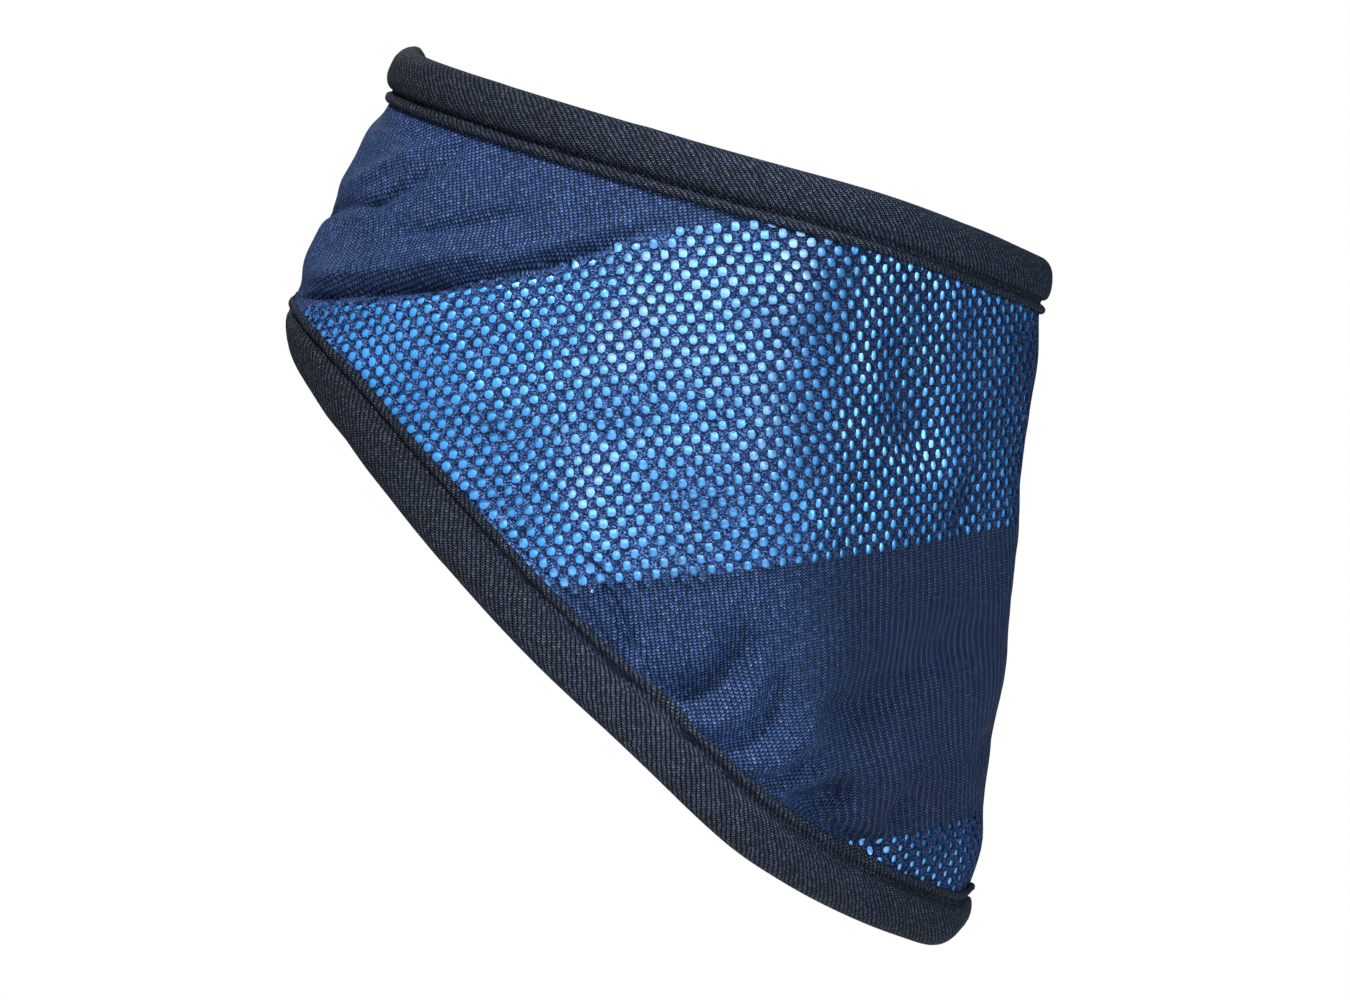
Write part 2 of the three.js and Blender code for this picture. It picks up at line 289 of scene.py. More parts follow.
def on_grid(values, round_, down):
    """Values of the grid at places between its points."""
    x = np.clip(np.asarray(round_) * (GRID_R - 1), 0, GRID_R - 1.001)
    y = np.clip(np.asarray(down) * (GRID_D - 1), 0, GRID_D - 1.001)
    i, j = x.astype(int), y.astype(int)
    u, v = x - i, y - j
    return (
        values[i, j] * (1 - u) * (1 - v) + values[i + 1, j] * u * (1 - v)
        + values[i, j + 1] * (1 - u) * v + values[i + 1, j + 1] * u * v
    )


def slopes(values):
    """How fast values of the grid change round and down."""
    s_r, s_d = np.gradient(values)
    return s_r * (GRID_R - 1), s_d * (GRID_D - 1)


P_R, P_D = slopes(fab_p)
Q_R, Q_D = slopes(fab_q)
A_R, A_D = slopes(fab_a)
B_R, B_D = slopes(fab_b)

# Bands of holes, in rows counted up from the middle of the near side
BAND_LOW, TIP_HIGH = -14.2, -42.8
BAND_TOP = np.array([  # millimetres towards the throat, rows up; lower where a puff at the nape hides rows
    (-80, 16.6), (-62, 15.2), (-50, 14.6), (-36, 14.2), (-20, 14.7),
    (-9, 15.6), (2, 16.8), (12, 17.2), (70, 18.0),
])


def band_depth(p, q):
    """How many rows a place lies inside a band of holes; below zero it is outside."""
    high = np.interp(p * PITCH, *BAND_TOP.T)
    main = np.minimum(q - BAND_LOW, high - q)
    return np.maximum(main, TIP_HIGH - q)


# Holes
HOLE_ACROSS, HOLE_UP = 0.92, 1.0  # half width and half height
HOLE_SIDES, HOLE_SQUARE = 8, 2.4  # a power of 2 would make ellipses
HOLE_UNEVEN, HOLE_STRETCH, EVEN_LOW, EVEN_HIGH = 0.05, 0.04, 0.9, 1.1
THROAT_SMALLER, THROAT_RUN = 0.04, (15, 50)  # holes shrink over this run (start, length) towards the throat
NAPE_LARGER, NAPE_RUN = 0.14, (15, 40)  # and grow over this run towards the nape
SHELL_THICK, LIP = 0.3, 0.12
LINE_CLEAR = 1.5  # cloth left whole at the throat's and the nape's middle line
SMALL_ONES, SMALL_SIZE = 8.0, 0.42  # small holes line the band's lower edge up to this far towards the throat
TIP_SIZE = 0.84  # holes of the band at the tip
ON_CLOTH, SAME_PLACE, SEARCH_STEPS = 0.7, 0.05, 5  # in holes' pitches: how far from the grid, and how exact
FILL_CLEAR = 1.9  # between a hole's centre and other points of the knit
FILL_ROWS = 3  # no such points deeper in a band than this
HEM_HIDDEN, HEM_CLEAR = 2.6, 1.0  # least way from a hem to a hole's centre, and to its edge
RIM_SPARE = 0.05  # added to a lip when it is tested against edges
HEM_STEPS, LINE_STEPS = 150, 64  # points along a hem, and along the throat's or the nape's line
FILL_R, FILL_D, SHARP = 300, 160, 0.06  # closed knit: every second point, and all where folds are sharp
MERGE, NO_AREA = 1e-6, 1e-7  # nearer points are one point, and smaller faces are dropped


def find_holes():
    """Centres (round, down) and sizes of the near side's holes."""
    tree = KDTree(GRID_R * GRID_D)
    for k, (p, q) in enumerate(zip(fab_p.ravel(), fab_q.ravel())):
        tree.insert((p, q, 0), k)
    tree.balance()
    sites = []
    for j in range(math.floor(fab_q.min()), math.ceil(fab_q.max()) + 1):
        for i in range(math.floor(fab_p.min()), math.ceil(fab_p.max()) + 1):
            p, q = i + 0.5 * (j % 2), float(j)
            if band_depth(p, q) < -1:
                continue
            _, k, gap = tree.find((p, q, 0))
            if gap < ON_CLOTH:
                sites.append((p, q, grid_r[k // GRID_D], grid_d[k % GRID_D]))
    sites = np.array(sites)
    p, q, r, d = sites.T
    for _ in range(SEARCH_STEPS):
        miss_p, miss_q = p - on_grid(fab_p, r, d), q - on_grid(fab_q, r, d)
        pr, pd = on_grid(P_R, r, d), on_grid(P_D, r, d)
        qr, qd = on_grid(Q_R, r, d), on_grid(Q_D, r, d)
        det = pr * qd - pd * qr
        r = np.clip(r + (miss_p * qd - miss_q * pd) / det, 0, 1)
        d = np.clip(d + (miss_q * pr - miss_p * qr) / det, 0, 1)
    length = side_length(r)
    inside = np.hypot(p - on_grid(fab_p, r, d), q - on_grid(fab_q, r, d)) < SAME_PLACE
    inside &= (d * length > HEM_HIDDEN) & ((1 - d) * length > HEM_HIDDEN)
    depth = band_depth(p, q)
    size = np.where(depth > 0, np.where(q < TIP_HIGH + 1, TIP_SIZE, 1.0), SMALL_SIZE)
    size = size * (1 - THROAT_SMALLER * smooth((p * PITCH - THROAT_RUN[0]) / THROAT_RUN[1]))
    size = size * (1 + NAPE_LARGER * smooth((-p * PITCH - NAPE_RUN[0]) / NAPE_RUN[1]))
    keep = inside & (depth > -1) & ((depth > 0) | ((q < 0) & (p * PITCH < SMALL_ONES)))
    return r[keep], d[keep], size[keep]


def build_half():
    """The near side's flat net: points (round, down), faces, and for each hole its points in order."""
    hole_r, hole_d, size = find_holes()
    rng = np.random.default_rng(11)
    count = len(hole_r)
    turn = np.arange(HOLE_SIDES) / HOLE_SIDES * 2 * np.pi
    wobble = 1 + HOLE_UNEVEN * rng.normal(size=(count, HOLE_SIDES))
    stretch = 1 + HOLE_STRETCH * rng.normal(size=(count, 2))
    rounded = np.abs(np.cos(turn)) ** HOLE_SQUARE + np.abs(np.sin(turn)) ** HOLE_SQUARE
    square = rounded ** (-1 / HOLE_SQUARE)
    small, even = size[:, None], np.clip(wobble, EVEN_LOW, EVEN_HIGH)
    rim_a = HOLE_ACROSS * stretch[:, :1] * np.cos(turn) * square * even * small
    rim_b = HOLE_UP * stretch[:, 1:] * np.sin(turn) * square * even * small
    ar, ad = on_grid(A_R, hole_r, hole_d), on_grid(A_D, hole_r, hole_d)
    br, bd = on_grid(B_R, hole_r, hole_d), on_grid(B_D, hole_r, hole_d)
    det = ar * bd - ad * br

    def ring(grow):
        """Each hole's edge, moved outwards by grow."""
        far = np.hypot(rim_a, rim_b)
        a, b = rim_a * (1 + grow / far), rim_b * (1 + grow / far)
        r = hole_r[:, None] + (a * bd[:, None] - b * ad[:, None]) / det[:, None]
        d = hole_d[:, None] + (b * ar[:, None] - a * br[:, None]) / det[:, None]
        return r, d

    wide_r, wide_d = ring(LIP + RIM_SPARE)
    length = side_length(hole_r)[:, None]
    fits = (wide_r * RING > LINE_CLEAR).all(1) & ((1 - wide_r) * RING > LINE_CLEAR).all(1)
    fits &= (wide_d * length > HEM_CLEAR).all(1) & ((1 - wide_d) * length > HEM_CLEAR).all(1)
    outer, inner = [np.stack(x, -1)[fits] for x in (ring(LIP), ring(0.0))]
    kept = int(fits.sum())

    hem = np.linspace(0, 1, HEM_STEPS + 1)
    line = np.linspace(0, 1, LINE_STEPS + 1)
    border = np.concatenate([
        np.stack([hem[:-1], 0 * hem[:-1]], -1), np.stack([0 * line[:-1] + 1, line[:-1]], -1),
        np.stack([hem[:0:-1], 0 * hem[:0:-1] + 1], -1), np.stack([0 * line[:0:-1], line[:0:-1]], -1),
    ])
    fill_i, fill_j = np.meshgrid(np.arange(1, FILL_R), np.arange(1, FILL_D), indexing="ij")
    fill_r, fill_d = fill_i / FILL_R, fill_j / FILL_D
    lifted = fold_height(fill_r, fill_d)
    bent = sum(np.abs(np.gradient(np.gradient(lifted, axis=k), axis=k)) for k in (0, 1))
    chosen = ((fill_i % 2 == 0) & (fill_j % 2 == 0)) | (bent > SHARP)
    fill = np.stack([fill_r[chosen], fill_d[chosen]], -1)
    p, q = on_grid(fab_p, *fill.T), on_grid(fab_q, *fill.T)
    tree = KDTree(kept)
    centre = outer.mean(1)
    for k, at in enumerate(zip(on_grid(fab_p, *centre.T) * PITCH, on_grid(fab_q, *centre.T) * ROW)):
        tree.insert((*at, 0), k)
    tree.balance()
    clear = np.array([tree.find((*at, 0))[2] for at in zip(p * PITCH, q * ROW)])
    fill = fill[(clear > FILL_CLEAR) & (band_depth(p, q) < FILL_ROWS)]

    flat = np.concatenate([border, outer.reshape(-1, 2), fill]) * (RING, CLOTH)
    rim_0 = len(border)
    edges = [(k, (k + 1) % rim_0) for k in range(rim_0)]
    for h in range(kept):
        first = rim_0 + h * HOLE_SIDES
        edges += [(first + k, first + (k + 1) % HOLE_SIDES) for k in range(HOLE_SIDES)]
    got = delaunay_2d_cdt([Vector(v) for v in flat], edges, [], 0, MERGE)
    faces = np.array([f for f in got[2] if len(f) == 3])
    order = np.full(len(got[0]), -1)
    for k, made in enumerate(got[3]):
        if made:
            order[k] = made[0]
    faces = order[faces]
    faces = faces[(faces >= 0).all(1)]
    hole_of = np.full(len(flat), -1)
    hole_of[rim_0:rim_0 + kept * HOLE_SIDES] = np.repeat(np.arange(kept), HOLE_SIDES)
    of = hole_of[faces]
    faces = faces[~((of[:, 0] >= 0) & (of[:, 0] == of[:, 1]) & (of[:, 1] == of[:, 2]))]
    a, b, c = (flat[faces[:, k]] for k in range(3))
    area = (b[:, 0] - a[:, 0]) * (c[:, 1] - a[:, 1]) - (b[:, 1] - a[:, 1]) * (c[:, 0] - a[:, 0])
    solid = np.abs(area) > NO_AREA
    faces, area = faces[solid], area[solid]
    faces[area > 0] = faces[area > 0][:, ::-1]
    return flat / (RING, CLOTH), faces, rim_0, kept, inner


def mesh_object(name, points, faces, material):
    """A mesh object from points in millimetres."""
    mesh = bpy.data.meshes.new(name)
    mesh.from_pydata((np.asarray(points) * MM).tolist(), [], [list(map(int, f)) for f in faces])
    mesh.polygons.foreach_set("use_smooth", [True] * len(mesh.polygons))
    mesh.materials.append(material)
    made = bpy.data.objects.new(name, mesh)
    bpy.context.scene.collection.objects.link(made)
    return made


def set_uv(made, name, per_point):
    """A UV map from one place for each point of the mesh."""
    layer = made.data.uv_layers.new(name=name)
    corner = np.zeros(len(made.data.loops), np.int32)
    made.data.loops.foreach_get("vertex_index", corner)
    layer.uv.foreach_set("vector", np.asarray(per_point, np.float32)[corner].ravel())


def set_corners(made, name, per_corner):
    """A UV map from one place for each corner, scaled to fill the unit square."""
    low, high = per_corner.min(0), per_corner.max(0)
    made.data.uv_layers.new(name=name).uv.foreach_set(
        "vector", ((per_corner - low) / (high - low).max()).astype(np.float32).ravel()
    )


def set_value(made, name, per_point):
    """A number for each point of the mesh, which its material reads."""
    layer = made.data.attributes.new(name, "FLOAT", "POINT")
    layer.data.foreach_set("value", np.asarray(per_point, np.float32))


class Nodes:
    """A short way to write a material's nodes."""

    def __init__(self, name):
        self.material = bpy.data.materials.new(name)
        self.material.use_nodes = True
        self.tree = self.material.node_tree
        self.shader = self.tree.nodes["Principled BSDF"]

    def add(self, kind, **settings):
        node = self.tree.nodes.new(kind)
        for key, value in settings.items():
            setattr(node, key, value)
        return node

    def link(self, value, socket):
        if isinstance(value, bpy.types.NodeSocket):
            self.tree.links.new(value, socket)
        else:
            socket.default_value = value

    def math(self, operation, *values, clamp=False):
        node = self.add("ShaderNodeMath", operation=operation, use_clamp=clamp)
        for value, socket in zip(values, node.inputs):
            self.link(value, socket)
        return node.outputs[0]

    def xyz(self, x, y, z=0.0):
        node = self.add("ShaderNodeCombineXYZ")
        for value, socket in zip((x, y, z), node.inputs):
            self.link(value, socket)
        return node.outputs[0]

    def uv(self, name):
        node = self.add("ShaderNodeUVMap", uv_map=name)
        split = self.add("ShaderNodeSeparateXYZ")
        self.link(node.outputs[0], split.inputs[0])
        return split.outputs[0], split.outputs[1]

    def random(self, vector):
        node = self.add("ShaderNodeTexWhiteNoise", noise_dimensions="3D")
        self.link(vector, node.inputs["Vector"])
        return node.outputs["Value"]

    def noise(self, vector, scale, detail=2.0):
        node = self.add("ShaderNodeTexNoise", noise_dimensions="3D")
        self.link(vector, node.inputs["Vector"])
        node.inputs["Scale"].default_value = scale
        node.inputs["Detail"].default_value = detail
        return node.outputs["Fac"]

    def attribute(self, name):
        return self.add("ShaderNodeAttribute", attribute_name=name).outputs["Fac"]

    def fade(self, value, start, stop):
        """Rises smoothly from 0 at start to 1 at stop."""
        node = self.add("ShaderNodeMapRange", interpolation_type="SMOOTHSTEP")
        self.link(value, node.inputs["Value"])
        node.inputs["From Min"].default_value = start
        node.inputs["From Max"].default_value = stop
        return node.outputs[0]

    def ramp(self, value, stops):
        node = self.add("ShaderNodeValToRGB")
        while len(node.color_ramp.elements) < len(stops):
            node.color_ramp.elements.new(0.5)
        for element, (at, colour) in zip(node.color_ramp.elements, stops):
            element.position = at
            element.color = (*colour, 1)
        self.link(value, node.inputs[0])
        return node.outputs[0]

    def mix(self, share, a, b, blend="MIX"):
        node = self.add("ShaderNodeMix", data_type="RGBA", blend_type=blend)
        self.link(share, node.inputs[0])
        self.link(a, node.inputs[6])
        self.link(b, node.inputs[7])
        return node.outputs[2]

    def bump(self, height, distance, strength=1.0, after=None):
        node = self.add("ShaderNodeBump")
        node.inputs["Strength"].default_value = strength
        node.inputs["Distance"].default_value = distance
        self.link(height, node.inputs["Height"])
        if after is not None:
            self.link(after, node.inputs["Normal"])
        return node.outputs[0]

    def set(self, **values):
        for key, value in values.items():
            self.link(value, self.shader.inputs[key.replace("_", " ")])


def srgb(r, g, b):
    """A linear colour from screen values 0 to 255."""
    return tuple(((x / 255 + 0.055) / 1.055) ** 2.4 if x > 10 else x / 255 / 12.92 for x in (r, g, b))


# Shading of the cloths: sizes are millimetres of cloth, shares are 0 to 1
WALE_GAP = 0.78  # painted shade: how dark the line between two columns of stitches is
KNIT_DARK, KNIT_LOW, KNIT_MID = srgb(12, 21, 42), srgb(30, 46, 80), srgb(48, 71, 113)
KNIT_HIGH, KNIT_SPECK, KNIT_DOT = srgb(66, 91, 142), srgb(96, 118, 168), srgb(110, 130, 172)
NET_DARK, NET_LOW = srgb(13, 22, 44), srgb(32, 54, 99)
NET_MID, NET_HIGH = srgb(56, 92, 155), srgb(98, 140, 208)
LINER_LOW, LINER_HIGH, LINER_SHINE = srgb(56, 158, 243), srgb(86, 180, 253), srgb(235, 240, 255)
TAPE_LOW, TAPE_MID, TAPE_HIGH = srgb(28, 35, 48), srgb(39, 46, 60), srgb(62, 70, 86)
KNIT_STITCH = (PITCH / 4, ROW / 3.4, 0.6)  # between columns, between rows, and how steep a leg of the V is
TAPE_STITCH = (0.95, 0.52, 0.85)
KNIT_YARN, TAPE_YARN = (1.87, 2.0), (2.45, 3.3)  # gain and power of the light on a yarn
KNIT_SWAY, TAPE_SWAY = (0.14, 0.5), (0.25, 0.8)  # how quickly columns wander, and how far
PANEL_RANGE, NAPE_RANGE = (8.0, 44.0), (-12.0, -70.0)  # where the cloth's look changes, either way
# towards the throat the panel's knit is darker partly for its darker yarn and partly as painted shade where
# the side turns from the lamps; the net there is darkened as painted shade
PANEL_YARN_AND_SHADE, NAPE_DARKER, NET_PAINTED_SHADE, PANEL_GAP = -0.76, -0.26, -0.6, 0.45
STRIPE_SCALE, STRIPE_GAIN, NAPE_POWER = 0.12, 1.3, 4.0
DOT_WIDE, DOT_HIGH, LINE_FROM = 0.06, 0.6, 0.43  # shares of a stripe's width and of a stitch
LOOP_SCALE, LOOP_FLAT, LOOP_ROUND, LOOP_LOW = 2.9, 1.25, 1.3, 0.35
TONE_SCALE, TONE_SHARE = 0.05, 0.3
TAPE_END_SHADE, TAPE_MIDDLE_LIGHT = 0.74, 0.72  # painted shade on the tape at the two ends of a side, and the painted light its middle adds


def wander(n, place, scale, size):
    """A slow noise round zero."""
    return n.math("MULTIPLY", n.math("SUBTRACT", n.noise(place, scale), 0.5), size)


def stitches(n, x, y, wale, course, rise, gap=WALE_GAP):
    """Columns of V stitches: the yarn's height, a number for each leg, and the leg's stripe alone."""
    across = n.math("PINGPONG", n.math("DIVIDE", x, wale), 0.5)
    up = n.math("ADD", n.math("DIVIDE", y, course), n.math("MULTIPLY", across, 2 * rise))
    leg = n.math("ADD", n.math("MULTIPLY", n.math("SINE", n.math("MULTIPLY", up, 2 * math.pi)), 0.5), 0.5)
    side = n.math("FLOOR", n.math("DIVIDE", x, wale / 2))
    pick = n.random(n.xyz(side, n.math("FLOOR", up)))
    # painted shade in the seam between two columns of stitches
    seam = n.math("SUBTRACT", 1.0, n.math("MULTIPLY", across, 4.0), clamp=True)
    ply = n.math("SUBTRACT", 1.0, n.math("MULTIPLY", seam, gap))
    return n.math("MULTIPLY", n.math("ADD", n.math("MULTIPLY", leg, 0.8), 0.2), ply), pick, leg


def shaded(n, colour, low, gain, height):
    """A colour made lighter or darker by a height; most uses paint light or shade into the colour."""
    shade = n.math("ADD", low, n.math("MULTIPLY", height, gain))
    return n.mix(1.0, colour, n.xyz(shade, shade, shade), "MULTIPLY")


def knit_material():
    n = Nodes("navy_jacquard_knit")
    x, y = n.uv("fabric")
    place = n.xyz(x, y)
    x = n.math("ADD", x, wander(n, place, *KNIT_SWAY))
    panel, nape = n.fade(x, *PANEL_RANGE), n.fade(x, *NAPE_RANGE)
    gap = n.math("SUBTRACT", WALE_GAP, n.math("MULTIPLY", panel, PANEL_GAP))
    yarn, pick, leg = stitches(n, x, y, *KNIT_STITCH, gap)
    heather = n.ramp(pick, [
        (0.0, KNIT_LOW), (0.5, KNIT_MID), (0.94, KNIT_HIGH), (1.0, KNIT_SPECK),
    ])
    gain, power = KNIT_YARN
    # painted light and shade: each yarn lighter on its crest and darker in the gaps
    closed = shaded(n, heather, 0.0, gain, n.math("POWER", yarn, power))
    # one stripe for each column of holes: light dots in the panel and at the nape, a dark line elsewhere
    over = n.math("ABSOLUTE", n.math("SUBTRACT", n.math("FRACT", n.math("DIVIDE", x, PITCH / 2)), 0.5))
    strong = n.noise(place, STRIPE_SCALE)
    dots = n.math("MULTIPLY", n.math("LESS_THAN", over, DOT_WIDE), n.math("GREATER_THAN", leg, DOT_HIGH))
    striped = n.math("ADD", panel, n.math("POWER", nape, NAPE_POWER))
    dots = n.math("MULTIPLY", n.math("MULTIPLY", dots, striped), strong, clamp=True)
    line = n.math("MULTIPLY", n.math("GREATER_THAN", over, LINE_FROM), n.math("SUBTRACT", 1.0, panel))
    line = n.math("MULTIPLY", line, n.math("MULTIPLY", strong, STRIPE_GAIN), clamp=True)
    # partly the panel's darker yarn, partly painted shade where the side turns from the lamps
    closed = shaded(n, closed, 1.0, PANEL_YARN_AND_SHADE, panel)
    closed = shaded(n, closed, 1.0, NAPE_DARKER, nape)
    closed = n.mix(dots, closed, (*KNIT_DOT, 1))
    closed = n.mix(line, closed, (*KNIT_DARK, 1))
    # the net between the holes: small irregular loops with bright specks
    cell = n.add("ShaderNodeTexVoronoi", voronoi_dimensions="2D")
    n.link(n.xyz(x, n.math("MULTIPLY", y, LOOP_FLAT)), cell.inputs["Vector"])
    cell.inputs["Scale"].default_value = LOOP_SCALE
    loops = n.ramp(n.random(cell.outputs["Color"]), [
        (0.0, NET_DARK), (0.45, NET_LOW), (0.75, NET_MID), (0.93, NET_HIGH), (1.0, KNIT_SPECK),
    ])
    dip = n.math("MULTIPLY", cell.outputs["Distance"], LOOP_ROUND)
    round_loop = n.math("SUBTRACT", 1.0, dip, clamp=True)
    # painted shade at each loop's edge, lighter at its middle
    loops = shaded(n, loops, LOOP_LOW, 1.0, round_loop)
    # painted shade on the net where the side turns from the lamps
    loops = shaded(n, loops, 1.0, NET_PAINTED_SHADE, panel)
    net = n.attribute("net")
    tone = n.math("MULTIPLY", n.noise(place, TONE_SCALE, 3.0), TONE_SHARE)
    n.set(Base_Color=n.mix(tone, n.mix(net, closed, loops), (*KNIT_LOW, 1)))
    closed_height = n.math("MULTIPLY", yarn, n.math("SUBTRACT", 1.0, net))
    height = n.math("ADD", closed_height, n.math("MULTIPLY", round_loop, net))
    n.set(Normal=n.bump(height, 0.00007, 0.8), Roughness=0.75, Specular_IOR_Level=0.08)
    return n.material


def liner_material():
    n = Nodes("glossy_blue_cooling_cloth")
    x, y = n.uv("fabric")
    place = n.xyz(x, y)
    pillow_x = n.math("COSINE", n.math("MULTIPLY", x, 2 * math.pi / PITCH))
    pillow = n.math("MULTIPLY", pillow_x, n.math("COSINE", n.math("MULTIPLY", y, math.pi / ROW)))
    tone = n.noise(place, 0.06, 3.0)
    n.set(Base_Color=n.mix(tone, (*LINER_LOW, 1), (*LINER_HIGH, 1)))
    swell = n.bump(n.noise(place, 0.075, 1.0), 0.0016, 1.0)
    n.set(Normal=n.bump(pillow, 0.00016, 1.0, swell), Roughness=0.33, Metallic=0.35)
    n.set(Specular_IOR_Level=1.0, Specular_Tint=(*LINER_SHINE, 1))
    n.set(Coat_Weight=1.0, Coat_Roughness=0.3, Coat_IOR=1.7)
    return n.material


def tape_material():
    n = Nodes("blue_black_bias_tape")
    x, y = n.uv("tape")
    sway = wander(n, n.xyz(x, y), *TAPE_SWAY)
    across = n.math("ADD", n.math("MULTIPLY", n.math("SUBTRACT", x, y), math.sqrt(0.5)), sway)
    along = n.math("MULTIPLY", n.math("ADD", x, y), math.sqrt(0.5))
    yarn, pick, _ = stitches(n, across, along, *TAPE_STITCH)
    heather = n.ramp(pick, [(0.0, TAPE_LOW), (0.6, TAPE_MID), (1.0, TAPE_HIGH)])
    # painted light and shade: the tape is painted lighter in the middle of each side and darker at its ends
    heather = shaded(n, heather, TAPE_END_SHADE, TAPE_MIDDLE_LIGHT, n.attribute("side"))
    gain, power = TAPE_YARN
    # painted light and shade: each yarn lighter on its crest and darker in the gaps
    n.set(Base_Color=shaded(n, heather, 0.0, gain, n.math("POWER", yarn, power)))
    n.set(Normal=n.bump(yarn, 0.0001, 0.9), Roughness=0.8, Specular_IOR_Level=0.1)
    return n.material


KNIT, LINER, TAPE = knit_material(), liner_material(), tape_material()

CLOTH_LOW = np.array([fab_a.min(), fab_b.min()])
CLOTH_SIZE = np.array([np.ptp(fab_a), np.ptp(fab_b)])
BAKE_MAP = "OFBake"
BAKE_GAP, WALL_IN, HEM_OUT = 3.0, 0.6, 0.5  # round each side of the cloth, inside a hole, and past a hem


def quarter(places, which):
    """Four sides of the cloth laid round a square, each turned by a right angle."""
    u, v = np.moveaxis(places - CLOTH_LOW + BAKE_GAP, -1, 0)
    wide, high = CLOTH_SIZE + 2 * BAKE_GAP
    side = wide + high
    turned = [(u, v), (side - v, u), (side - u, side - v), (v, side - u)][which]
    return np.stack(turned, -1)


def build_shell():
    """The knit with its holes, as one closed mesh, and the number of holes on one side."""
    flat, faces, rim_0, kept, inner = build_half()
    count = len(flat)
    face_points, _ = skin(flat[:, 0], flat[:, 1])
    back_flat = flat.copy()
    back_flat[rim_0:rim_0 + kept * HOLE_SIDES] = inner.reshape(-1, 2)
    back_points, _ = skin(back_flat[:, 0], back_flat[:, 1], SHELL_THICK)
    near = np.concatenate([face_points, back_points])
    places = np.concatenate([flat, back_flat])
    tris = [faces, faces[:, ::-1] + count]
    first = rim_0 + np.arange(kept * HOLE_SIDES)
    after = first.reshape(kept, HOLE_SIDES)[:, (np.arange(HOLE_SIDES) + 1) % HOLE_SIDES].ravel()
    quads = [np.stack([first, after, after + count, first + count], -1)]
    laid = np.stack([on_grid(fab_a, *places.T), on_grid(fab_b, *places.T)], -1)
    centre = laid[first].reshape(kept, HOLE_SIDES, 2).mean(1).repeat(HOLE_SIDES, axis=0)
    inwards = [centre + (laid[k] - centre) * WALL_IN for k in (after, first)]
    laid_quads = [np.stack([laid[first], laid[after], *inwards], 1)]
    top = np.arange(HEM_STEPS + 1)
    low = HEM_STEPS + LINE_STEPS + np.arange(HEM_STEPS + 1)
    for row, out in ((top, HEM_OUT), (low, -HEM_OUT)):
        quads.append(np.stack([row[1:], row[:-1], row[:-1] + count, row[1:] + count], -1))
        one, two = laid[row[1:]], laid[row[:-1]]
        laid_quads.append(np.stack([one, two, two + (0, out), one + (0, out)], 1))
    quads, laid_quads = np.concatenate(quads), np.concatenate(laid_quads)
    # the far side mirrors the near one and shares its points on the middle plane
    total = len(near)
    seam = np.zeros(total, bool)
    border = np.concatenate([
        [0], HEM_STEPS + np.arange(LINE_STEPS + 1), 2 * HEM_STEPS + LINE_STEPS + np.arange(LINE_STEPS),
    ])
    seam[border] = seam[border + count] = True
    far = near * (1, -1, 1)
    rename = np.arange(total) + total
    rename[seam] = np.arange(total)[seam]
    near[seam, 1] = 0
    all_tris = np.concatenate([*tris, *(rename[t][:, ::-1] for t in tris)])
    all_quads = np.concatenate([quads, rename[quads][:, ::-1]])
    points = np.concatenate([near, far])
    used = np.zeros(len(points), bool)
    used[all_tris.ravel()] = used[all_quads.ravel()] = True
    place = np.concatenate([places, places])
    number = np.cumsum(used) - 1
    lists = [list(f) for f in number[all_tris]] + [list(f) for f in number[all_quads]]
    made = mesh_object("perforated_shell", points[used], lists, KNIT)
    p, q = on_grid(fab_p, *place.T), on_grid(fab_q, *place.T)
    set_uv(made, "fabric", np.stack([p * PITCH, q * ROW], -1)[used])
    corners = [quarter(laid[t], k) for k, t in enumerate(tris)]
    corners += [quarter(laid[t][:, ::-1], k + 2) for k, t in enumerate(tris)]
    corners += [quarter(laid_quads, 0), quarter(laid_quads[:, ::-1], 2)]
    set_corners(made, BAKE_MAP, np.concatenate([c.reshape(-1, 2) for c in corners]))
    set_value(made, "net", smooth((band_depth(p, q) + 0.25) / 0.5)[used])
    return made, kept


shell, hole_count = build_shell()

LINER_R, LINER_D = 200, 100
LINER_DEPTH, LINER_THICK, LINER_LOOSE = 0.34, 0.3, 0.5  # it hangs looser where there are no holes
LINER_SLACK, SLACK_BASE = 0.14, 1.2


